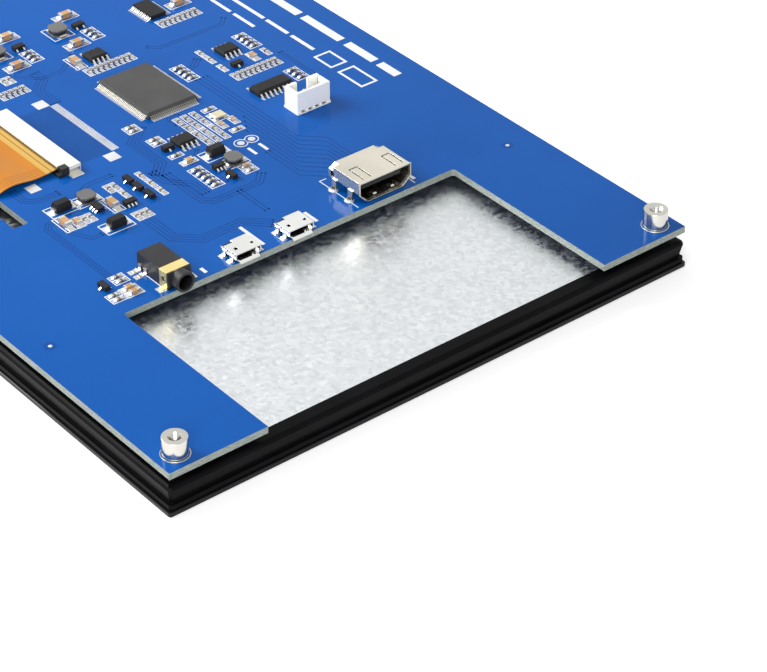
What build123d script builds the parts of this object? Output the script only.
from build123d import *
import os

os.makedirs("parts", exist_ok=True)

# All sizes are in millimetres. The glass lies face down on z = 0 and the circuit board is on top.
# +X points to the short edge with the cut-out, the origin is the middle of the footprint.

# Front glass and the display frame, insets are measured inwards from the edge of the glass
GLASS_LENGTH = 235.5
GLASS_WIDTH = 138.4
GLASS_THICK = 1.1
GLASS_CORNER_CUT = 0.35
TAPE_THICK = 0.2
TAPE_OUTER_INSET = 1.4
TAPE_INNER_INSET = 5.4
SENSOR_INSET = 6.0
SENSOR_THICK = 0.5
WINDOW_INSET = 5.9
FRAME_BOTTOM = GLASS_THICK + TAPE_THICK
FRAME_TOP = 6.7
FRAME_CORNER_CUT = 0.5
LIP_INSET = 0.42
LIP_TOP = 2.4
WALL_FOOT_INSET = 1.1
WALL_CREST_INSET = 0.5
WALL_CREST_Z = 5.8
CREST_SHOULDER_INSET = 0.75
CREST_SHOULDER_Z = 6.4
CREST_TOP_INSET = 1.3
FLANGE_THICK = 0.9
STACK_WALL_INSET = 4.9
STACK_GAP = 0.1
PLATE_INSET = 4.3
PLATE_GAP = 0.1
PLATE_THICK = 0.6
PLATE_RECESS = 0.2

# Layers of the display stack, counted up from the flange of the frame
CELL_BOTTOM = FRAME_BOTTOM + FLANGE_THICK
CELL_THICK = 1.3
SHEETS_THICK = 0.4
REFLECTOR_THICK = 0.2
PLATE_TOP = FRAME_TOP - PLATE_RECESS
PLATE_BOTTOM = PLATE_TOP - PLATE_THICK
SHEETS_BOTTOM = CELL_BOTTOM + CELL_THICK
GUIDE_BOTTOM = SHEETS_BOTTOM + SHEETS_THICK
GUIDE_THICK = PLATE_BOTTOM - REFLECTOR_THICK - GUIDE_BOTTOM
LIGHT_SIDE_INSET = 7.5
LED_STRIP_THICK = 0.5
LED_STRIP_INSET = 10.5
LED_STRIP_LENGTH = GLASS_LENGTH - 2 * LED_STRIP_INSET
LED_SIZE = (3.8, 1.0, 1.2)
LED_COUNT = 24
LED_PITCH = LED_STRIP_LENGTH / LED_COUNT

# Circuit board
BOARD_LENGTH = 234.4
BOARD_WIDTH = 137.0
BOARD_THICK = 1.6
BOARD_TOP = 10.35
BOARD_BOTTOM = BOARD_TOP - BOARD_THICK
CUTOUT_DEPTH = 49.3
CUTOUT_WIDTH = 89.5
CUTOUT_CORNER = 0.8
RIBBON_SLOT = (51.2, 3.7)
RIBBON_SLOT_PLACE = (116.0, 25.55)
# Foam pads: length, width, inboard, across
FOAM_PADS = [(70.0, 8.0, 107.2, 118.5), (70.0, 8.0, 192.2, 118.5), (60.0, 8.0, 192.2, 18.5),
             (26.0, 8.0, 72.2, 18.5), (30.0, 6.0, 25.2, 125.5), (30.0, 6.0, 25.2, 11.5)]

# Threaded standoffs, M2.5, one near each corner of the board
STANDOFF_END_INSET = 4.5
STANDOFF_SIDE_INSET = 4.7
STANDOFF_DIAMETER = 5.4
STANDOFF_HEIGHT = 4.15
STANDOFF_SHANK = 4.1
STANDOFF_SHANK_GAP = 0.05
STANDOFF_SHANK_DEPTH = 1.4
STANDOFF_THREAD = 2.5

# Ribbon connector with a sliding lock, and the ribbon of the display
FPC_PLACE = 116.0
FPC_LENGTH = 30.0
FPC_FRONT = 43.5
FPC_BACK = 48.5
FPC_HEIGHT = 1.95
FPC_FLOOR = 0.25
FPC_CEILING = 1.6
FPC_POCKET_DEPTH = 4.0
RIBBON_WIDTH = 26.0
RIBBON_THICK = 0.25
RIBBON_SIDE_GAP = 0.3
RIBBON_HEIGHT = 1.25
RIBBON_BOARD_GAP = 0.5
LOCK_GAP = 0.15
LOCK_BAR = 0.7
LOCK_TRAVEL = 1.2
LOCK_TOP = 0.7
LOCK_BOTTOM = 0.1
TONGUE_BOTTOM = 0.4
TONGUE_REACH = 3.0
TONGUE_SIDE_GAP = 0.3
EAR_WIDTH = 1.8
EAR_DEPTH = 1.9
EAR_HEIGHT = 2.0
EAR_NOTCH_GAP = 0.1
CONTACT_COUNT = 50
CONTACT_PITCH = 0.5
CONTACT_FOOT = (0.22, 1.0, 0.2)
ANCHOR_LENGTH = 2.8
ANCHOR_SETBACK = 0.4
ANCHOR_THICK = 0.25
ANCHOR_FOOT = 1.3

# Touch ribbon, which leaves at the far short end and folds over the frame
TOUCH_RIBBON_WIDTH = 12.0
TOUCH_RIBBON_THICK = 0.16
TOUCH_NOTCH_GAP = 0.3
TOUCH_CONNECTOR = (14.0, 4.0, 1.2)
TOUCH_CONNECTOR_INSET = 34.0

# Edge connectors along the cut-out, places are (inboard of the short edge, across from the near edge)
VIDEO_PLACE = 94.6
VIDEO_FRONT = 50.4
VIDEO_LENGTH = 11.1
VIDEO_TOP = 5.4
VIDEO_BASE = 0.3
VIDEO_HALF_TOP = 7.13
VIDEO_HALF_BASE = 4.9
VIDEO_SIDE_FOOT = 2.5
VIDEO_STEP = 0.3
VIDEO_WALL = 0.3
VIDEO_FLARE = 0.2
VIDEO_FLARE_LENGTH = 0.7
VIDEO_REAR_FOLD = (1.5, 1.7, 1.0)
VIDEO_LEG = (1.6, 0.3, 2.6)
VIDEO_LEG_SETBACKS = [2.2, 7.8]
VIDEO_OPENINGS = [(1.3, 1.1, 1.3, 2.9), (5.3, 1.5, 1.8, 0.5)]
FINGER_WIDTH = 2.1
FINGER_LENGTH = 5.0
FINGER_SLIT = 0.3
FINGER_SETBACK = 1.4
FINGER_OFFSETS = [-4.0, 5.1]
SLIT_CUT_DEPTH = 0.6
VIDEO_CONTACT_COUNT = 9
MICRO_PLACES = [70.4, 56.2]
MICRO_WIDTH = 6.7
MICRO_DEPTH = 5.4
MICRO_HEIGHT = 2.3
MICRO_BASE = 0.2
MICRO_SIDE_FOOT = 1.0
MICRO_WALL = 0.25
MICRO_LIP = 0.6
MICRO_LIP_LENGTH = 5.2
MICRO_HOLE = (0.9, 0.8)
MICRO_HOLE_SETBACK = 2.0
MICRO_HOLE_OFFSETS = [-1.9, 2.3]
MICRO_REAR_CUT = (1.0, 2.4)
MICRO_FOOT_SETBACKS = [1.5, 4.2]
MICRO_CONTACT_COUNT = 5
MICRO_CONTACT_PITCH = 0.65
JACK_PLACE = 38.9
JACK_WIDTH = 6.0
JACK_HEIGHT = 4.05
JACK_BACK = 61.4
JACK_MOUTH = 48.0
JACK_NOZZLE_LENGTH = 2.3
JACK_NOZZLE_DIAMETER = 4.7
JACK_BORE = 3.6
JACK_BORE_DEPTH = 11.0
JACK_AXIS_HEIGHT = 2.0
JACK_POST = 0.5
JACK_POST_NOTCH = (2.6, 0.9)
JACK_TERMINAL_SETBACKS = [0.9, 3.0]
JACK_TERMINAL_REACH = 1.9
COLLAR_LENGTH = 2.6
COLLAR_THICK = 0.25
HEADER_PLACE = (91.75, 105.1)
HEADER_DEPTH = 4.9
HEADER_WIDTH = 9.4
HEADER_HEIGHT = 5.6
HEADER_WALL = 0.7
HEADER_FLOOR = 1.2
HEADER_BASE = (0.15, 0.5)
HEADER_PITCH = 2.0
HEADER_PIN = 0.5
HEADER_PIN_HEIGHT = 4.4
HEADER_PIN_COUNT = 4
HEADER_NOTCH = (3.2, 3.4)
HEADER_KEY = (0.3, 2.2)
HEADER_KEY_SETBACK = 1.2
HEADER_FOOT_SLOT = (1.6, 1.2, 0.65)
HEADER_FOOT_SLOT_LIFT = 0.15

# Chips, the upper half of each body leans in
SCALER_PLACE = (119.2, 79.5)
SCALER_BODY = (20.0, 14.0, 1.4)
SCALER_LEAN = 0.4
SCALER_LEAD_PITCH = 0.5
SCALER_SIDE_COUNT = 38
SCALER_END_COUNT = 26
SCALER_LEAD = (0.8, 1.0, 0.22)
CHIP_STANDOFF = 0.15
CHIP_LEAN = 0.35
SMALL_OUTLINE = (3.9, 4.9, 1.15)
SMALL_OUTLINE_PLACES = [(96.3, 73.2), (140.7, 79.5), (123.2, 105.4)]
LONG_OUTLINE = (3.9, 9.9, 1.35)
LONG_OUTLINE_PLACE = (103.0, 103.2)
OUTLINE_LEAD_PITCH = 1.27
OUTLINE_LEAD = (0.8, 1.0, 0.42)
SMALL_OUTLINE_COUNT = 4
LONG_OUTLINE_COUNT = 8
THIN_OUTLINE = (7.8, 4.4, 1.0)
THIN_OUTLINE_PLACE = (150.7, 102.3)
THIN_LEAD_PITCH = 0.65
THIN_LEAD = (0.6, 1.0, 0.24)
THIN_OUTLINE_COUNT = 12
FINE_LEAD_WIDTH = 0.3
LEAD_THICK = 0.15
PACKAGE_STANDOFF = 0.1
TRANSISTOR_BODY = (2.9, 1.4, 1.0)
TRANSISTOR_LEAD = (0.55, 0.6, 0.45)
TRANSISTOR_LEAD_OFFSET = 0.95
TRANSISTORS_ALONG_X = [(90.4, 53.9), (86.8, 53.9), (82.7, 54.1), (77.8, 72.9), (59.5, 26.0)]
TRANSISTORS_ALONG_Y = [(95.9, 68.5), (116.4, 103.2)]
REGULATOR_BODY = (1.6, 2.9, 1.0)
REGULATOR_LEAD = (0.55, 0.6, 0.4)
# Regulators: inboard, across, leads on the side towards the cut-out or the near edge
REGULATORS_ALONG_Y = [(82.5, 72.8, 3), (82.8, 48.9, 3), (155.3, 84.5, 2), (155.3, 67.4, 2)]
REGULATOR_ALONG_X = (85.4, 42.2)
DIODE_BODY = (2.3, 3.9, 2.1)
DIODE_LEAN = 0.25
DIODE_PLACES = [(87.7, 75.8), (90.3, 36.1), (77.5, 41.8)]
DIODE_TAB = (1.5, 0.45, 0.9)

# Coils: size of the plate, and places. Corners are cut by a share of the size
COILS = [(3.8, [(82.4, 76.9), (89.9, 42.4)]), (4.3, [(155.9, 79.1), (155.9, 61.5)])]
COIL_CORNER_SHARE = 0.2
COIL_HEIGHT = 1.7
COIL_BASE = 0.35
COIL_CAP = 0.4
COIL_WAIST_SHARE = 0.86

# Capacitors: size, places along x, places along y
CAPACITORS = [
    ((3.2, 1.6, 1.35),
     [(84.8, 45.7), (84.8, 33.3), (141.2, 74.2)],
     [(161.3, 84.8), (161.3, 67.8), (148.3, 79.4), (148.3, 62.4), (149.6, 110.0)]),
    ((2.0, 1.2, 0.9), [(117.4, 108.7), (83.7, 35.8)], [(88.8, 69.2), (56.1, 29.9), (54.1, 29.9)]),
    ((1.6, 0.8, 0.7), [(97.0, 87.7), (97.0, 84.4)], [(79.3, 77.9)]),
]
END_CAP_SHARE = 0.2
RESISTOR = (1.6, 0.8, 0.45)
RESISTORS_ALONG_X = [(90.6, 57.4), (86.7, 57.4), (82.7, 57.4), (90.6, 50.4), (90.6, 48.8), (86.8, 50.3),
                     (77.6, 50.1), (77.6, 48.7), (77.6, 47.3), (83.7, 39.3), (83.7, 37.7),
                     (126.0, 99.8), (122.4, 99.8), (117.5, 99.8), (117.4, 112.6), (144.3, 57.9),
                     (144.3, 56.3)]
RESISTORS_ALONG_Y = [(77.3, 77.8), (104.2, 86.0), (93.2, 85.9), (108.9, 67.2), (107.2, 67.2), (101.2, 68.4),
                     (99.4, 68.4), (92.6, 68.4), (61.2, 30.3), (59.4, 30.3), (55.9, 26.0), (54.1, 26.0)]
# Columns of resistors stacked across the board: inboard, first across, count
RESISTOR_COLUMNS = [(143.8, 100.9, 8), (135.6, 74.3, 9), (112.3, 100.0, 9), (138.8, 52.3, 5)]
RESISTOR_COLUMN_PITCH = 1.48
# Rows of standing resistors: first inboard, across, count
RESISTOR_ROWS = [(77.3, 68.3, 5), (118.3, 91.5, 4), (121.5, 112.1, 4), (102.6, 111.8, 3),
                 (148.5, 85.4, 3), (148.5, 67.9, 3)]
RESISTOR_ROW_PITCH = 1.9
RESISTOR_BLOCK_COLUMNS = [104.0, 100.5, 96.8, 93.2]
RESISTOR_BLOCK_ROWS = [82.1, 79.7, 77.5]
CRYSTAL_PLACE = (100.5, 85.9)
CRYSTAL_BODY = (2.5, 3.2, 0.8)
CRYSTAL_EDGE = 0.15

LOW = (Align.CENTER, Align.CENTER, Align.MIN)


def spot(inboard, across):
    """Model x and y of a place given from the near corner of the board."""
    return BOARD_LENGTH / 2 - inboard, across - BOARD_WIDTH / 2


def block(size_x, size_y, size_z, x, y, z):
    """A box centred on x, y that stands on z."""
    return Pos(x, y, z) * Box(size_x, size_y, size_z, align=LOW)


def rod(diameter, height, x, y, z):
    """An upright cylinder that stands on z."""
    return Pos(x, y, z) * Cylinder(diameter / 2, height, align=LOW)


def ring_outline(inset, cut):
    """The outline of the glass moved inwards by inset, with each corner cut off or left sharp."""
    half_x = GLASS_LENGTH / 2 - inset
    half_y = GLASS_WIDTH / 2 - inset
    if cut == 0:
        return Rectangle(2 * half_x, 2 * half_y)
    right = [(half_x - cut, -half_y), (half_x, cut - half_y), (half_x, half_y - cut), (half_x - cut, half_y)]
    left = [(-along, across) for along, across in right[::-1]]
    return make_face(Polyline(*(right + left), close=True))


def slab(inset, bottom, thick, cut=0):
    """A slab with the outline of the glass moved inwards by inset."""
    return Pos(0, 0, bottom) * extrude(ring_outline(inset, cut), thick, dir=(0, 0, 1))


def moulded(size_x, size_y, size_z, x, y, z, lean):
    """A moulded chip body whose upper half leans in on all four sides."""
    half = size_z / 2
    waist = Pos(x, y, z + half) * Rectangle(size_x, size_y)
    top = Pos(x, y, z + size_z) * Rectangle(size_x - 2 * lean, size_y - 2 * lean)
    return block(size_x, size_y, half, x, y, z) + loft([waist, top], ruled=True)


def profile(points, length):
    """A prism of the given (along, up) outline, centred on y = 0 and running along y."""
    face = Plane.XZ * make_face(Polyline(*points, close=True))
    return Pos(0, length / 2, 0) * extrude(face, length, dir=(0, -1, 0))


def strip_outline(points, thick):
    """The outline of a thin strip whose middle follows the points."""
    left = []
    right = []
    for index, (u, v) in enumerate(points):
        before = points[max(index - 1, 0)]
        after = points[min(index + 1, len(points) - 1)]
        run = Vector(after[0] - before[0], after[1] - before[1]).normalized()
        left.append((u - run.Y * thick / 2, v + run.X * thick / 2))
        right.append((u + run.Y * thick / 2, v - run.X * thick / 2))
    return left + right[::-1]


def save(name, *solids):
    """Write one node, a single solid or a group of like solids."""
    shape = solids[0] if len(solids) == 1 else Compound(children=list(solids))
    shape.label = name
    export_step(shape, os.path.join("parts", name + ".step"))


# Front glass, its sensor and the tape that holds it to the frame
save("cover_glass", slab(0, 0, GLASS_THICK, GLASS_CORNER_CUT))
save("touch_sensor", slab(SENSOR_INSET, GLASS_THICK, SENSOR_THICK))

TOUCH_NOTCH_WIDTH = TOUCH_RIBBON_WIDTH + 2 * TOUCH_NOTCH_GAP
TOUCH_NOTCH_LENGTH = 16.0
TOUCH_NOTCH_TOP = GLASS_THICK + SENSOR_THICK + TOUCH_RIBBON_THICK + 0.1
END_X = -GLASS_LENGTH / 2
glass_tape = slab(TAPE_OUTER_INSET, GLASS_THICK, TAPE_THICK)
glass_tape -= slab(TAPE_INNER_INSET, GLASS_THICK, TAPE_THICK)
glass_tape -= block(TOUCH_NOTCH_LENGTH, TOUCH_NOTCH_WIDTH, TAPE_THICK, END_X, 0, GLASS_THICK)
save("glass_tape", glass_tape)


def frame_storey(lower_inset, upper_inset, lower_z, upper_z):
    """One storey of the outside of the frame, filled, between two outlines."""
    lower = Pos(0, 0, lower_z) * ring_outline(lower_inset, FRAME_CORNER_CUT)
    upper = Pos(0, 0, upper_z) * ring_outline(upper_inset, FRAME_CORNER_CUT)
    return loft([lower, upper], ruled=True)


# Display frame: an upright lip, a ledge and a wall that leans out to a rounded crest
display_frame = slab(LIP_INSET, FRAME_BOTTOM, LIP_TOP - FRAME_BOTTOM, FRAME_CORNER_CUT)
display_frame += frame_storey(WALL_FOOT_INSET, WALL_CREST_INSET, LIP_TOP, WALL_CREST_Z)
display_frame += frame_storey(WALL_CREST_INSET, CREST_SHOULDER_INSET, WALL_CREST_Z, CREST_SHOULDER_Z)
display_frame += frame_storey(CREST_SHOULDER_INSET, CREST_TOP_INSET, CREST_SHOULDER_Z, FRAME_TOP)
display_frame -= slab(WINDOW_INSET, 0, FRAME_TOP)
display_frame -= slab(STACK_WALL_INSET, CELL_BOTTOM, FRAME_TOP)
display_frame -= slab(PLATE_INSET - PLATE_GAP, PLATE_BOTTOM, FRAME_TOP)
display_frame -= block(TOUCH_NOTCH_LENGTH, TOUCH_NOTCH_WIDTH, TOUCH_NOTCH_TOP - FRAME_BOTTOM, END_X, 0,
                       FRAME_BOTTOM)
save("display_frame", display_frame)

# Display stack inside the frame
STACK_INSET = STACK_WALL_INSET + STACK_GAP
save("lcd_cell", slab(STACK_INSET, CELL_BOTTOM, CELL_THICK))

LAYER_LENGTH = GLASS_LENGTH - 2 * STACK_INSET
LAYER_WIDTH = GLASS_WIDTH - STACK_INSET - LIGHT_SIDE_INSET
LAYER_Y = (LIGHT_SIDE_INSET - STACK_INSET) / 2
save("diffuser_sheets", block(LAYER_LENGTH, LAYER_WIDTH, SHEETS_THICK, 0, LAYER_Y, SHEETS_BOTTOM))
save("light_guide", block(LAYER_LENGTH, LAYER_WIDTH, GUIDE_THICK, 0, LAYER_Y, GUIDE_BOTTOM))
save("reflector_sheet",
     block(LAYER_LENGTH, LAYER_WIDTH, REFLECTOR_THICK, 0, LAYER_Y, GUIDE_BOTTOM + GUIDE_THICK))

# Light strip along the near edge of the light guide, its lamps face the guide
GUIDE_EDGE_Y = -GLASS_WIDTH / 2 + LIGHT_SIDE_INSET
STRIP_Y = GUIDE_EDGE_Y - LED_SIZE[1] - LED_STRIP_THICK / 2
STRIP_HEIGHT = PLATE_BOTTOM - GUIDE_BOTTOM
LED_LIFT = 0.3
save("light_strip", block(LED_STRIP_LENGTH, LED_STRIP_THICK, STRIP_HEIGHT, 0, STRIP_Y, GUIDE_BOTTOM))
leds = []
for index in range(LED_COUNT):
    led_x = (index - (LED_COUNT - 1) / 2) * LED_PITCH
    leds.append(block(*LED_SIZE, led_x, GUIDE_EDGE_Y - LED_SIZE[1] / 2, GUIDE_BOTTOM + LED_LIFT))
save("light_strip_lamps", *leds)

# Metal back plate, notched where the display ribbon comes out of the frame
RIBBON_X = BOARD_LENGTH / 2 - FPC_PLACE
RIBBON_NOTCH = (RIBBON_WIDTH + 2, 2.4)
back_plate = slab(PLATE_INSET, PLATE_BOTTOM, PLATE_THICK)
back_plate -= block(RIBBON_NOTCH[0], 2 * RIBBON_NOTCH[1], PLATE_THICK,
                    RIBBON_X, -GLASS_WIDTH / 2 + PLATE_INSET, PLATE_BOTTOM)
save("back_plate", back_plate)

# Foam pads that carry the board on the back plate
FOAM_HEIGHT = BOARD_BOTTOM - PLATE_TOP
save("foam_pads", *[block(length, width, FOAM_HEIGHT, *spot(inboard, across), PLATE_TOP)
                    for length, width, inboard, across in FOAM_PADS])

# Circuit board with the cut-out, the ribbon slot and the standoff holes
circuit_board = block(BOARD_LENGTH, BOARD_WIDTH, BOARD_THICK, 0, 0, BOARD_BOTTOM)
cutout_outline = RectangleRounded(2 * CUTOUT_DEPTH, CUTOUT_WIDTH, CUTOUT_CORNER)
circuit_board -= Pos(BOARD_LENGTH / 2, 0, BOARD_BOTTOM) * extrude(cutout_outline, BOARD_THICK)
slot_x, slot_y = spot(*RIBBON_SLOT_PLACE)
circuit_board -= block(RIBBON_SLOT[0], RIBBON_SLOT[1], BOARD_THICK, slot_x, slot_y, BOARD_BOTTOM)
standoff_x = BOARD_LENGTH / 2 - STANDOFF_END_INSET
standoff_y = BOARD_WIDTH / 2 - STANDOFF_SIDE_INSET
standoff_places = [(side_x * standoff_x, side_y * standoff_y) for side_x in (-1, 1) for side_y in (-1, 1)]
for x, y in standoff_places:
    circuit_board -= rod(STANDOFF_SHANK + 2 * STANDOFF_SHANK_GAP, BOARD_THICK, x, y, BOARD_BOTTOM)
save("circuit_board", circuit_board)

# Threaded standoffs with a shank in the board
standoffs = []
for x, y in standoff_places:
    post = rod(STANDOFF_DIAMETER, STANDOFF_HEIGHT, x, y, BOARD_TOP)
    post += rod(STANDOFF_SHANK, STANDOFF_SHANK_DEPTH, x, y, BOARD_TOP - STANDOFF_SHANK_DEPTH)
    post -= rod(STANDOFF_THREAD, STANDOFF_HEIGHT + STANDOFF_SHANK_DEPTH, x, y,
                BOARD_TOP - STANDOFF_SHANK_DEPTH)
    standoffs.append(post)
save("standoffs", *standoffs)

# Ribbon connector: housing with a pocket, sliding lock, contacts and side anchors
fpc_x = RIBBON_X
front_y = FPC_FRONT - BOARD_WIDTH / 2
back_y = FPC_BACK - BOARD_WIDTH / 2
housing_depth = back_y - front_y
pocket_width = RIBBON_WIDTH + 2 * RIBBON_SIDE_GAP
ear_x = (FPC_LENGTH - EAR_WIDTH) / 2
ear_notch = (EAR_WIDTH + EAR_NOTCH_GAP, EAR_DEPTH + EAR_NOTCH_GAP)
ribbon_connector = block(FPC_LENGTH, housing_depth, FPC_HEIGHT, fpc_x, front_y + housing_depth / 2,
                         BOARD_TOP)
ribbon_connector -= block(pocket_width, FPC_POCKET_DEPTH, FPC_CEILING - FPC_FLOOR, fpc_x,
                          front_y + FPC_POCKET_DEPTH / 2, BOARD_TOP + FPC_FLOOR)
for side in (-1, 1):
    notch_x = fpc_x + side * (FPC_LENGTH - ear_notch[0]) / 2
    ribbon_connector -= block(*ear_notch, FPC_HEIGHT, notch_x, front_y + ear_notch[1] / 2, BOARD_TOP)
save("ribbon_connector", ribbon_connector)

bar_front_y = front_y - LOCK_GAP - LOCK_BAR
ribbon_lock = block(FPC_LENGTH, LOCK_BAR, LOCK_TOP - LOCK_BOTTOM, fpc_x, bar_front_y + LOCK_BAR / 2,
                    BOARD_TOP + LOCK_BOTTOM)
tongue_length = LOCK_GAP + TONGUE_REACH
ribbon_lock += block(pocket_width - 2 * TONGUE_SIDE_GAP, tongue_length, LOCK_TOP - TONGUE_BOTTOM, fpc_x,
                     front_y - LOCK_GAP + tongue_length / 2, BOARD_TOP + TONGUE_BOTTOM)
arm_length = LOCK_GAP + EAR_DEPTH
for side in (-1, 1):
    ribbon_lock += block(EAR_WIDTH, EAR_DEPTH, EAR_HEIGHT - LOCK_BOTTOM, fpc_x + side * ear_x,
                         front_y + EAR_DEPTH / 2, BOARD_TOP + LOCK_BOTTOM)
    ribbon_lock += block(EAR_WIDTH, arm_length, LOCK_TOP - LOCK_BOTTOM, fpc_x + side * ear_x,
                         front_y - LOCK_GAP + arm_length / 2, BOARD_TOP + LOCK_BOTTOM)
save("ribbon_lock", ribbon_lock)

contacts = []
for index in range(CONTACT_COUNT):
    contact_x = fpc_x + (index - (CONTACT_COUNT - 1) / 2) * CONTACT_PITCH
    contacts.append(block(*CONTACT_FOOT, contact_x, back_y + CONTACT_FOOT[1] / 2, BOARD_TOP))
save("ribbon_connector_contacts", *contacts)

anchors = []
ANCHOR_HEIGHT = 1.3
ANCHOR_FOOT_THICK = 0.2
for side in (-1, 1):
    anchor_x = fpc_x + side * FPC_LENGTH / 2
    anchor_y = back_y - ANCHOR_SETBACK - ANCHOR_LENGTH / 2
    wall = block(ANCHOR_THICK, ANCHOR_LENGTH, ANCHOR_HEIGHT, anchor_x + side * ANCHOR_THICK / 2, anchor_y,
                 BOARD_TOP)
    foot = block(ANCHOR_FOOT, ANCHOR_LENGTH, ANCHOR_FOOT_THICK, anchor_x + side * ANCHOR_FOOT / 2, anchor_y,
                 BOARD_TOP)
    anchors.append(wall + foot)
save("ribbon_connector_anchors", *anchors)

# Display ribbon: out of the frame, over the back plate, up through the slot and into the connector
frame_y = -GLASS_WIDTH / 2 + STACK_WALL_INSET
under_z = PLATE_TOP + RIBBON_BOARD_GAP
ribbon_path = [
    (frame_y + 1.9, SHEETS_BOTTOM + RIBBON_THICK / 2),
    (frame_y + 0.7, SHEETS_BOTTOM + RIBBON_THICK / 2),
    (frame_y + 0.35, SHEETS_BOTTOM + 0.45),
    (frame_y + 0.35, PLATE_TOP + 0.05),
    (frame_y + 0.7, under_z),
    (slot_y - 4.5, under_z),
    (slot_y - 2.35, BOARD_BOTTOM - 0.7),
    (slot_y - 0.75, BOARD_BOTTOM + 0.5),
    (slot_y + 0.85, BOARD_TOP),
    (slot_y + 3.45, BOARD_TOP + 1.05),
    (slot_y + 5.95, BOARD_TOP + 1.5),
    (slot_y + 8.45, BOARD_TOP + 1.4),
    (front_y - 7.0, BOARD_TOP + 1.05),
    (front_y - 5.0, BOARD_TOP + 0.9),
    (front_y - 2.5, BOARD_TOP + 1.05),
    (front_y, BOARD_TOP + RIBBON_HEIGHT),
    (front_y + FPC_POCKET_DEPTH - 0.2, BOARD_TOP + RIBBON_HEIGHT),
]
ribbon_face = Plane.YZ * make_face(Polyline(*strip_outline(ribbon_path, RIBBON_THICK), close=True))
display_ribbon = Pos(fpc_x - RIBBON_WIDTH / 2, 0, 0) * extrude(ribbon_face, RIBBON_WIDTH, dir=(1, 0, 0))
save("display_ribbon", display_ribbon)

# Touch ribbon and its connector on the underside of the board
tail_z = GLASS_THICK + SENSOR_THICK + TOUCH_RIBBON_THICK / 2
connector_x = -BOARD_LENGTH / 2 + TOUCH_CONNECTOR_INSET
connector_z = BOARD_BOTTOM - TOUCH_CONNECTOR[2]
tail_in_z = connector_z + 0.5
TAIL_OUTER_INSET = 0.25
TAIL_BEND = (0.12, 0.2)
touch_path = [
    (END_X + SENSOR_INSET + 2.0, tail_z),
    (END_X + TAIL_OUTER_INSET + TAIL_BEND[0], tail_z),
    (END_X + TAIL_OUTER_INSET, tail_z + TAIL_BEND[1]),
    (END_X + TAIL_OUTER_INSET, FRAME_TOP - 0.6),
    (END_X + TAIL_OUTER_INSET + 0.35, FRAME_TOP + 0.3),
    (END_X + 5.0, FRAME_TOP + 0.5),
    (connector_x - 5.0, tail_in_z),
    (connector_x + 1.0, tail_in_z),
]
touch_ribbon = profile(strip_outline(touch_path, TOUCH_RIBBON_THICK), TOUCH_RIBBON_WIDTH)
save("touch_ribbon", touch_ribbon)
TOUCH_POCKET = (3.2, 0.4, 0.3)
touch_connector = block(TOUCH_CONNECTOR[1], TOUCH_CONNECTOR[0], TOUCH_CONNECTOR[2], connector_x, 0,
                        connector_z)
touch_connector -= block(TOUCH_POCKET[0], TOUCH_RIBBON_WIDTH + TOUCH_POCKET[1], TOUCH_POCKET[2],
                         connector_x - (TOUCH_CONNECTOR[1] - TOUCH_POCKET[0]) / 2, 0,
                         tail_in_z - TOUCH_POCKET[2] / 2)
save("touch_connector", touch_connector)

# Video socket: folded shell with a flared mouth and two spring fingers, tongue and contacts
video_y = VIDEO_PLACE - BOARD_WIDTH / 2
video_front_x = BOARD_LENGTH / 2 - VIDEO_FRONT
video_back_x = video_front_x - VIDEO_LENGTH


def video_outline(grow, fold_width=0, fold_drop=0):
    """Outline of the video socket as a face across x, grown outwards, with its upper corners folded down."""
    top = VIDEO_TOP + grow
    base = VIDEO_BASE - grow
    half_top = VIDEO_HALF_TOP + grow
    half_step = half_top - VIDEO_STEP
    half_base = VIDEO_HALF_BASE + grow / 2
    side_foot = VIDEO_SIDE_FOOT
    right = [(half_top, top), (half_top, side_foot), (half_step, side_foot - VIDEO_STEP), (half_base, base)]
    if fold_width > 0:
        right[0:1] = [(half_top - fold_width, top), (half_top, top - fold_drop)]
    left = [(-across, up) for across, up in right[::-1]]
    return Plane.YZ * make_face(Polyline(*(right + left), close=True))


def video_prism(grow, start_x, length, fold_width=0, fold_drop=0):
    """A straight length of the video socket outline."""
    outline = video_outline(grow, fold_width, fold_drop)
    return Pos(start_x, video_y, BOARD_TOP) * extrude(outline, length, dir=(1, 0, 0))


def video_mouth(grow_back, grow_front, start_x, length):
    """The flared mouth between two sizes of the outline."""
    back = Pos(start_x, video_y, BOARD_TOP) * video_outline(grow_back)
    front = Pos(start_x + length, video_y, BOARD_TOP) * video_outline(grow_front)
    return loft([back, front], ruled=True)


flare_x = video_front_x - VIDEO_FLARE_LENGTH
fold_x = video_back_x + VIDEO_REAR_FOLD[0]
video_shell = video_prism(0, video_back_x, VIDEO_REAR_FOLD[0], VIDEO_REAR_FOLD[1], VIDEO_REAR_FOLD[2])
video_shell += video_prism(0, fold_x, flare_x - fold_x)
video_shell += video_mouth(0, VIDEO_FLARE, flare_x, VIDEO_FLARE_LENGTH)
video_shell -= video_prism(-VIDEO_WALL, video_back_x + VIDEO_WALL, VIDEO_REAR_FOLD[0] - VIDEO_WALL,
                           VIDEO_REAR_FOLD[1], VIDEO_REAR_FOLD[2])
video_shell -= video_prism(-VIDEO_WALL, fold_x, VIDEO_LENGTH)
video_shell -= video_mouth(-VIDEO_WALL, VIDEO_FLARE - VIDEO_WALL, flare_x, VIDEO_FLARE_LENGTH)
slit_z = BOARD_TOP + VIDEO_TOP - SLIT_CUT_DEPTH
finger_x = video_front_x - FINGER_SETBACK
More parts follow.
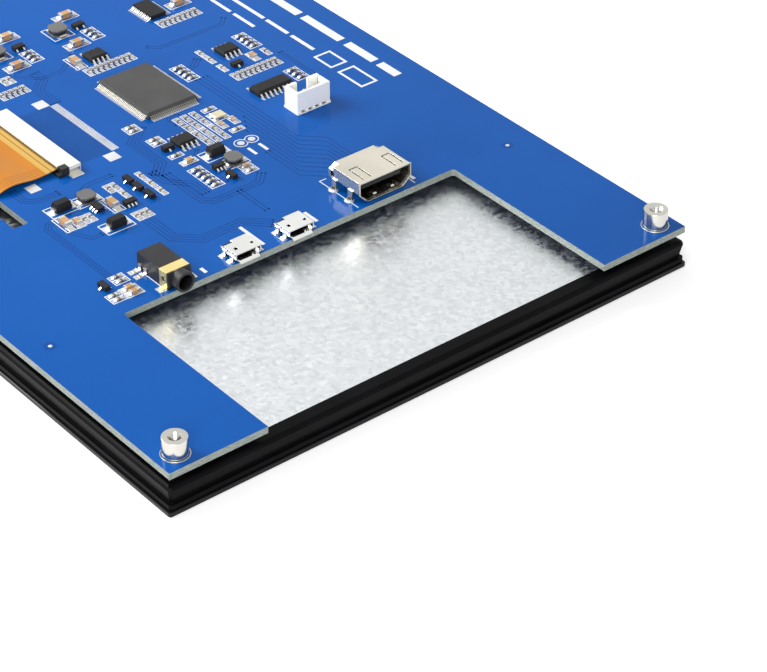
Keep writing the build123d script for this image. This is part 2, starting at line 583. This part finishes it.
for offset in FINGER_OFFSETS:
    finger_y = video_y + offset
    for edge in (-1, 1):
        video_shell -= block(FINGER_LENGTH, FINGER_SLIT, 1.0, finger_x - FINGER_LENGTH / 2,
                             finger_y + edge * FINGER_WIDTH / 2, slit_z)
    video_shell -= block(FINGER_SLIT, FINGER_WIDTH + FINGER_SLIT, 1.0, finger_x - FINGER_LENGTH, finger_y,
                         slit_z)
for side in (-1, 1):
    for setback in VIDEO_LEG_SETBACKS:
        video_shell += block(*VIDEO_LEG, video_back_x + setback,
                             video_y + side * (VIDEO_HALF_TOP + VIDEO_LEG[1] / 2), BOARD_TOP)
    for setback, length, height, lift in VIDEO_OPENINGS:
        video_shell -= block(length, 1.0, height, video_back_x + setback,
                             video_y + side * VIDEO_HALF_TOP, BOARD_TOP + lift)
save("video_socket_shell", video_shell)

VIDEO_PLUG_LENGTH = 2.6
VIDEO_TONGUE = (6.4, 11.2, 0.9)
VIDEO_TONGUE_LIFT = 2.75
plug_x = video_back_x + VIDEO_WALL
tongue_x = plug_x + VIDEO_PLUG_LENGTH
video_insert = video_prism(-VIDEO_WALL, plug_x, VIDEO_PLUG_LENGTH, VIDEO_REAR_FOLD[1], VIDEO_REAR_FOLD[2])
video_insert += block(*VIDEO_TONGUE, tongue_x + VIDEO_TONGUE[0] / 2, video_y, BOARD_TOP + VIDEO_TONGUE_LIFT)
save("video_socket_insert", video_insert)
VIDEO_BLADE = (5.4, 0.45, 0.12)
VIDEO_TAIL = (1.1, 0.3, 0.25)
video_contacts = []
for index in range(VIDEO_CONTACT_COUNT):
    contact_y = video_y + (index - (VIDEO_CONTACT_COUNT - 1) / 2)
    video_contacts.append(block(*VIDEO_BLADE, tongue_x + VIDEO_TONGUE[0] / 2, contact_y,
                                BOARD_TOP + VIDEO_TONGUE_LIFT + VIDEO_TONGUE[2]))
    video_contacts.append(block(*VIDEO_TAIL, video_back_x - VIDEO_TAIL[0] / 2, contact_y, BOARD_TOP))
save("video_socket_contacts", *video_contacts)

# Two micro sockets: shell with a flared lower lip, tongue and solder pads
micro_shells = []
micro_inserts = []
micro_feet = []
edge_x = BOARD_LENGTH / 2 - CUTOUT_DEPTH
MICRO_FOOT = (1.2, 0.9, 0.3)
MICRO_STRAP = (1.2, 0.3, 1.5)
MICRO_STRAP_OUT = 0.1
MICRO_SIDE_SLOPE = 0.9
MICRO_LIP_DROP = 0.15
MICRO_PLUG_LENGTH = 1.2
MICRO_TONGUE = (2.8, 3.6, 0.5)
MICRO_TONGUE_LIFT = 1.2
MICRO_CONTACT = (0.9, 0.35, 0.2)


def micro_prism(inward, start_x, length):
    """A length of the micro socket outline moved inwards, narrower at the bottom."""
    half = MICRO_WIDTH / 2 - inward
    base = MICRO_BASE + inward
    top = MICRO_HEIGHT - inward
    corners = [(-half, top), (half, top), (half, MICRO_SIDE_FOOT), (half - MICRO_SIDE_SLOPE, base),
               (MICRO_SIDE_SLOPE - half, base), (-half, MICRO_SIDE_FOOT)]
    face = Plane.YZ * make_face(Polyline(*corners, close=True))
    return Pos(start_x, 0, 0) * extrude(face, length, dir=(1, 0, 0))


for place in MICRO_PLACES:
    socket_y = place - BOARD_WIDTH / 2
    at_rear = Pos(edge_x - MICRO_DEPTH, socket_y, BOARD_TOP)
    shell = at_rear * micro_prism(0, 0, MICRO_DEPTH)
    shell -= at_rear * micro_prism(MICRO_WALL, MICRO_WALL, MICRO_DEPTH)
    for offset in MICRO_HOLE_OFFSETS:
        shell -= block(*MICRO_HOLE, 1.0, edge_x - MICRO_HOLE_SETBACK, socket_y + offset,
                       BOARD_TOP + MICRO_HEIGHT - SLIT_CUT_DEPTH)
    shell -= block(2 * MICRO_REAR_CUT[0], MICRO_REAR_CUT[1], MICRO_HEIGHT, edge_x - MICRO_DEPTH,
                   socket_y - (MICRO_WIDTH - MICRO_REAR_CUT[1]) / 2,
                   BOARD_TOP + MICRO_HEIGHT - SLIT_CUT_DEPTH)
    lip_z = MICRO_BASE - MICRO_LIP_DROP
    lip_points = [(0, MICRO_BASE), (0, MICRO_BASE + MICRO_WALL), (MICRO_LIP, lip_z),
                  (MICRO_LIP, lip_z - MICRO_WALL)]
    shell += Pos(edge_x, socket_y, BOARD_TOP) * profile(lip_points, MICRO_LIP_LENGTH)
    for side in (-1, 1):
        for setback in MICRO_FOOT_SETBACKS:
            foot_y = socket_y + side * (MICRO_WIDTH + MICRO_FOOT[1]) / 2
            strap_y = socket_y + side * (MICRO_WIDTH / 2 + MICRO_STRAP_OUT)
            shell += block(*MICRO_FOOT, edge_x - setback, foot_y, BOARD_TOP)
            shell += block(*MICRO_STRAP, edge_x - setback, strap_y, BOARD_TOP)
    micro_shells.append(shell)
    insert = at_rear * micro_prism(MICRO_WALL, MICRO_WALL, MICRO_PLUG_LENGTH)
    insert += at_rear * block(*MICRO_TONGUE, MICRO_WALL + MICRO_PLUG_LENGTH + MICRO_TONGUE[0] / 2, 0,
                              MICRO_TONGUE_LIFT)
    micro_inserts.append(insert)
    for index in range(MICRO_CONTACT_COUNT):
        offset = (index - (MICRO_CONTACT_COUNT - 1) / 2) * MICRO_CONTACT_PITCH
        micro_feet.append(block(*MICRO_CONTACT, edge_x - MICRO_DEPTH - MICRO_CONTACT[0] / 2,
                                socket_y + offset, BOARD_TOP))
save("micro_socket_shells", *micro_shells)
save("micro_socket_inserts", *micro_inserts)
save("micro_socket_contacts", *micro_feet)

# Audio jack: moulded body with a round nozzle over the edge of the board, sheet collar and side terminals
jack_y = JACK_PLACE - BOARD_WIDTH / 2
jack_back_x = BOARD_LENGTH / 2 - JACK_BACK
jack_mouth_x = BOARD_LENGTH / 2 - JACK_MOUTH
jack_front_x = jack_mouth_x - JACK_NOZZLE_LENGTH
jack_length = jack_front_x - jack_back_x
jack_axis_z = BOARD_TOP + JACK_AXIS_HEIGHT
QUARTER = 90
ALONG_X = Rotation(0, QUARTER, 0)
EDGE_CLEARANCE = 0.05
collar_x = jack_front_x - JACK_POST - COLLAR_LENGTH / 2
audio_jack = block(jack_length, JACK_WIDTH, JACK_HEIGHT, jack_back_x + jack_length / 2, jack_y, BOARD_TOP)
band_cut = block(COLLAR_LENGTH, JACK_WIDTH, JACK_HEIGHT, collar_x, jack_y, BOARD_TOP)
band_cut -= block(COLLAR_LENGTH, JACK_WIDTH - 2 * COLLAR_THICK, JACK_HEIGHT - COLLAR_THICK,
                  collar_x, jack_y, BOARD_TOP)
audio_jack -= band_cut
audio_jack -= block(JACK_POST, *JACK_POST_NOTCH, jack_front_x - JACK_POST / 2, jack_y,
                    BOARD_TOP + JACK_HEIGHT - JACK_POST_NOTCH[1])
nozzle = (Pos(jack_front_x + JACK_NOZZLE_LENGTH / 2, jack_y, jack_axis_z) * ALONG_X
          * Cylinder(JACK_NOZZLE_DIAMETER / 2, JACK_NOZZLE_LENGTH))
over_board = edge_x + EDGE_CLEARANCE - jack_front_x
nozzle -= block(over_board, JACK_WIDTH, BOARD_THICK, jack_front_x + over_board / 2, jack_y, BOARD_BOTTOM)
audio_jack += nozzle
audio_jack -= (Pos(jack_mouth_x - JACK_BORE_DEPTH / 2, jack_y, jack_axis_z) * ALONG_X
               * Cylinder(JACK_BORE / 2, JACK_BORE_DEPTH))
save("audio_jack_body", audio_jack)

COLLAR_WINDOW = (0.9, 1.0, 1.3)
COLLAR_FOOT = (1.2, 1.3, 0.2)
COLLAR_LIFT = 0.1
COLLAR_FOOT_SHIFT = 0.5
COLLAR_FOOT_OUT = 0.4
COLLAR_LEG_HEIGHT = 0.4
collar_foot_x = collar_x + COLLAR_FOOT_SHIFT
collar = block(COLLAR_LENGTH, JACK_WIDTH, JACK_HEIGHT - COLLAR_LIFT, collar_x, jack_y,
               BOARD_TOP + COLLAR_LIFT)
collar -= block(COLLAR_LENGTH, JACK_WIDTH - 2 * COLLAR_THICK, JACK_HEIGHT - COLLAR_THICK,
                collar_x, jack_y, BOARD_TOP)
for side in (-1, 1):
    collar -= block(*COLLAR_WINDOW, collar_x, jack_y + side * JACK_WIDTH / 2, BOARD_TOP + COLLAR_WINDOW[2])
    foot_y = jack_y + side * (JACK_WIDTH / 2 + COLLAR_FOOT_OUT)
    collar += block(*COLLAR_FOOT, collar_foot_x, foot_y, BOARD_TOP)
    collar += block(COLLAR_FOOT[0], COLLAR_THICK, COLLAR_LEG_HEIGHT, collar_foot_x,
                    jack_y + side * (JACK_WIDTH - COLLAR_THICK) / 2, BOARD_TOP)
save("audio_jack_collar", collar)

JACK_TERMINAL = (1.0, 0.2, 1.3)
terminals = []
for setback in JACK_TERMINAL_SETBACKS:
    terminal_x = jack_back_x + setback
    for side in (-1, 1):
        wall_y = jack_y + side * JACK_WIDTH / 2
        terminal = block(JACK_TERMINAL[0], JACK_TERMINAL_REACH, JACK_TERMINAL[1], terminal_x,
                         wall_y + side * JACK_TERMINAL_REACH / 2, BOARD_TOP)
        terminal += block(*JACK_TERMINAL, terminal_x, wall_y + side * JACK_TERMINAL[1] / 2, BOARD_TOP)
        terminals.append(terminal)
save("audio_jack_terminals", *terminals)

# White wire header: open box on a wider base, with a notched back wall and four pins
header_x, header_y = spot(*HEADER_PLACE)
wire_header = block(HEADER_DEPTH, HEADER_WIDTH, HEADER_HEIGHT, header_x, header_y, BOARD_TOP)
wire_header += block(HEADER_DEPTH + 2 * HEADER_BASE[0], HEADER_WIDTH + 2 * HEADER_BASE[0], HEADER_BASE[1],
                     header_x, header_y, BOARD_TOP)
wire_header -= block(HEADER_DEPTH - 2 * HEADER_WALL, HEADER_WIDTH - 2 * HEADER_WALL, HEADER_HEIGHT,
                     header_x, header_y, BOARD_TOP + HEADER_FLOOR)
wire_header -= block(2 * HEADER_WALL, HEADER_NOTCH[0], HEADER_HEIGHT, header_x - HEADER_DEPTH / 2,
                     header_y, BOARD_TOP + HEADER_HEIGHT - HEADER_NOTCH[1])
key_x = header_x - HEADER_DEPTH / 2 + HEADER_KEY_SETBACK
wire_header -= block(HEADER_KEY[0], 3 * HEADER_WALL, HEADER_HEIGHT, key_x,
                     header_y + HEADER_WIDTH / 2, BOARD_TOP + HEADER_HEIGHT - HEADER_KEY[1])
header_pins = []
slot_centre_x = header_x + HEADER_DEPTH / 2 + HEADER_BASE[0] - HEADER_FOOT_SLOT[0] / 2
for index in range(HEADER_PIN_COUNT):
    pin_y = header_y + (index - (HEADER_PIN_COUNT - 1) / 2) * HEADER_PITCH
    wire_header -= block(*HEADER_FOOT_SLOT, slot_centre_x, pin_y, BOARD_TOP + HEADER_FOOT_SLOT_LIFT)
    wire_header -= block(HEADER_PIN, HEADER_PIN, HEADER_FLOOR, header_x, pin_y, BOARD_TOP)
    header_pins.append(block(HEADER_PIN, HEADER_PIN, HEADER_PIN_HEIGHT, header_x, pin_y, BOARD_TOP))
save("wire_header", wire_header)
save("wire_header_pins", *header_pins)


def lead(x, y, direction, size):
    """A sloping lead of (shoulder, reach, width) from a body side at x, y, a fine one ends in an edge."""
    shoulder, reach, width = size
    points = [(0, shoulder), (reach, 0), (0, shoulder - 1.5 * LEAD_THICK)]
    if width > FINE_LEAD_WIDTH:
        points.insert(1, (reach, LEAD_THICK))
    return Pos(x, y, BOARD_TOP) * Rotation(0, 0, direction) * profile(points, width)


def lead_row(x, y, direction, count, pitch, size):
    """A row of leads whose middle leaves the body at x, y."""
    turn = Rotation(0, 0, direction)
    row = []
    for index in range(count):
        shift = turn * Pos(0, (index - (count - 1) / 2) * pitch, 0)
        row.append(lead(x + shift.position.X, y + shift.position.Y, direction, size))
    return row


def rows_along_x(x, y, half_depth, count, pitch, size):
    """Two rows of leads, one out of each y side of a body."""
    return [one for side in (-1, 1)
            for one in lead_row(x, y + side * half_depth, side * QUARTER, count, pitch, size)]


def rows_along_y(x, y, half_length, count, pitch, size):
    """Two rows of leads, one out of each x side of a body."""
    return [one for side in (-1, 1)
            for one in lead_row(x + side * half_length, y, QUARTER - side * QUARTER, count, pitch, size)]


# Scaler chip with leads on four sides
scaler_x, scaler_y = spot(*SCALER_PLACE)
save("scaler_chip", moulded(*SCALER_BODY, scaler_x, scaler_y, BOARD_TOP + CHIP_STANDOFF, SCALER_LEAN))
scaler_leads = rows_along_x(scaler_x, scaler_y, SCALER_BODY[1] / 2,
                            SCALER_SIDE_COUNT, SCALER_LEAD_PITCH, SCALER_LEAD)
scaler_leads += rows_along_y(scaler_x, scaler_y, SCALER_BODY[0] / 2,
                             SCALER_END_COUNT, SCALER_LEAD_PITCH, SCALER_LEAD)
save("scaler_chip_leads", *scaler_leads)

# Smaller chips with leads on two sides
small_chips = []
small_leads = []
for place in SMALL_OUTLINE_PLACES:
    x, y = spot(*place)
    small_chips.append(moulded(*SMALL_OUTLINE, x, y, BOARD_TOP + CHIP_STANDOFF, CHIP_LEAN))
    small_leads += rows_along_y(x, y, SMALL_OUTLINE[0] / 2,
                                SMALL_OUTLINE_COUNT, OUTLINE_LEAD_PITCH, OUTLINE_LEAD)
x, y = spot(*LONG_OUTLINE_PLACE)
small_chips.append(moulded(*LONG_OUTLINE, x, y, BOARD_TOP + CHIP_STANDOFF, CHIP_LEAN))
small_leads += rows_along_y(x, y, LONG_OUTLINE[0] / 2, LONG_OUTLINE_COUNT, OUTLINE_LEAD_PITCH, OUTLINE_LEAD)
x, y = spot(*THIN_OUTLINE_PLACE)
small_chips.append(block(*THIN_OUTLINE, x, y, BOARD_TOP + CHIP_STANDOFF))
small_leads += rows_along_x(x, y, THIN_OUTLINE[1] / 2, THIN_OUTLINE_COUNT, THIN_LEAD_PITCH, THIN_LEAD)
save("small_chips", *small_chips)
save("small_chip_leads", *small_leads)

# Transistors and small regulators
transistors = []
transistor_leads = []
half_wide = TRANSISTOR_BODY[1] / 2
for place in TRANSISTORS_ALONG_X:
    x, y = spot(*place)
    transistors.append(block(*TRANSISTOR_BODY, x, y, BOARD_TOP + PACKAGE_STANDOFF))
    transistor_leads.append(lead(x, y - half_wide, -QUARTER, TRANSISTOR_LEAD))
    for offset in (-TRANSISTOR_LEAD_OFFSET, TRANSISTOR_LEAD_OFFSET):
        transistor_leads.append(lead(x + offset, y + half_wide, QUARTER, TRANSISTOR_LEAD))
for place in TRANSISTORS_ALONG_Y:
    x, y = spot(*place)
    transistors.append(block(TRANSISTOR_BODY[1], TRANSISTOR_BODY[0], TRANSISTOR_BODY[2], x, y,
                             BOARD_TOP + PACKAGE_STANDOFF))
    transistor_leads.append(lead(x + half_wide, y, 0, TRANSISTOR_LEAD))
    for offset in (-TRANSISTOR_LEAD_OFFSET, TRANSISTOR_LEAD_OFFSET):
        transistor_leads.append(lead(x - half_wide, y + offset, 2 * QUARTER, TRANSISTOR_LEAD))
for inboard, across, front_count in REGULATORS_ALONG_Y:
    x, y = spot(inboard, across)
    front_pitch = 2 * TRANSISTOR_LEAD_OFFSET / (front_count - 1)
    transistors.append(block(*REGULATOR_BODY, x, y, BOARD_TOP + PACKAGE_STANDOFF))
    transistor_leads += lead_row(x + REGULATOR_BODY[0] / 2, y, 0, front_count, front_pitch, REGULATOR_LEAD)
    transistor_leads += lead_row(x - REGULATOR_BODY[0] / 2, y, 2 * QUARTER, 3, TRANSISTOR_LEAD_OFFSET,
                                 REGULATOR_LEAD)
x, y = spot(*REGULATOR_ALONG_X)
transistors.append(block(REGULATOR_BODY[1], REGULATOR_BODY[0], REGULATOR_BODY[2], x, y,
                         BOARD_TOP + PACKAGE_STANDOFF))
transistor_leads += rows_along_x(x, y, REGULATOR_BODY[0] / 2, 3, TRANSISTOR_LEAD_OFFSET, REGULATOR_LEAD)
save("transistors", *transistors)
save("transistor_leads", *transistor_leads)

# Diodes with a folded tab at each end
diodes = []
diode_tabs = []
for place in DIODE_PLACES:
    x, y = spot(*place)
    diodes.append(moulded(*DIODE_BODY, x, y, BOARD_TOP + PACKAGE_STANDOFF, DIODE_LEAN))
    for side in (-1, 1):
        diode_tabs.append(block(*DIODE_TAB, x, y + side * (DIODE_BODY[1] + DIODE_TAB[1]) / 2, BOARD_TOP))
save("diodes", *diodes)
save("diode_tabs", *diode_tabs)


def cut_block(size, height, x, y, z):
    """A square block with its upright corners cut off."""
    return chamfer(block(size, size, height, x, y, z).edges().filter_by(Axis.Z), size * COIL_CORNER_SHARE)


# Power coils: thin base, dark waist and a grey top plate
coil_bases = []
coil_waists = []
coil_tops = []
for size, places in COILS:
    for place in places:
        x, y = spot(*place)
        waist_height = COIL_HEIGHT - COIL_BASE - COIL_CAP
        coil_bases.append(cut_block(size, COIL_BASE, x, y, BOARD_TOP))
        coil_waists.append(cut_block(size * COIL_WAIST_SHARE, waist_height, x, y, BOARD_TOP + COIL_BASE))
        coil_tops.append(cut_block(size, COIL_CAP, x, y, BOARD_TOP + COIL_BASE + waist_height))
save("coil_bases", *coil_bases)
save("coil_drums", *coil_waists)
save("coil_tops", *coil_tops)

# Capacitors with metal end caps
capacitors = []
capacitor_ends = []
for size, places_x, places_y in CAPACITORS:
    long, wide, high = size
    end = long * END_CAP_SHARE
    middle = long - 2 * end
    for angle, places in ((0, places_x), (QUARTER, places_y)):
        for place in places:
            turn = Pos(*spot(*place), BOARD_TOP) * Rotation(0, 0, angle)
            capacitors.append(turn * block(middle, wide, high, 0, 0, 0))
            for side in (-1, 1):
                capacitor_ends.append(turn * block(end, wide, high, side * (middle + end) / 2, 0, 0))
save("capacitors", *capacitors)
save("capacitor_ends", *capacitor_ends)

# Chip resistors
resistors = []
lying = list(RESISTORS_ALONG_X)
for inboard, across, count in RESISTOR_COLUMNS:
    lying += [(inboard, across + index * RESISTOR_COLUMN_PITCH) for index in range(count)]
lying += [(inboard, across) for inboard in RESISTOR_BLOCK_COLUMNS for across in RESISTOR_BLOCK_ROWS]
standing = list(RESISTORS_ALONG_Y)
for inboard, across, count in RESISTOR_ROWS:
    standing += [(inboard + index * RESISTOR_ROW_PITCH, across) for index in range(count)]
for place in lying:
    resistors.append(block(*RESISTOR, *spot(*place), BOARD_TOP))
for place in standing:
    resistors.append(block(RESISTOR[1], RESISTOR[0], RESISTOR[2], *spot(*place), BOARD_TOP))
save("chip_resistors", *resistors)

# Crystal
crystal = block(*CRYSTAL_BODY, *spot(*CRYSTAL_PLACE), BOARD_TOP)
save("crystal", chamfer(crystal.edges().group_by(Axis.Z)[-1], CRYSTAL_EDGE))
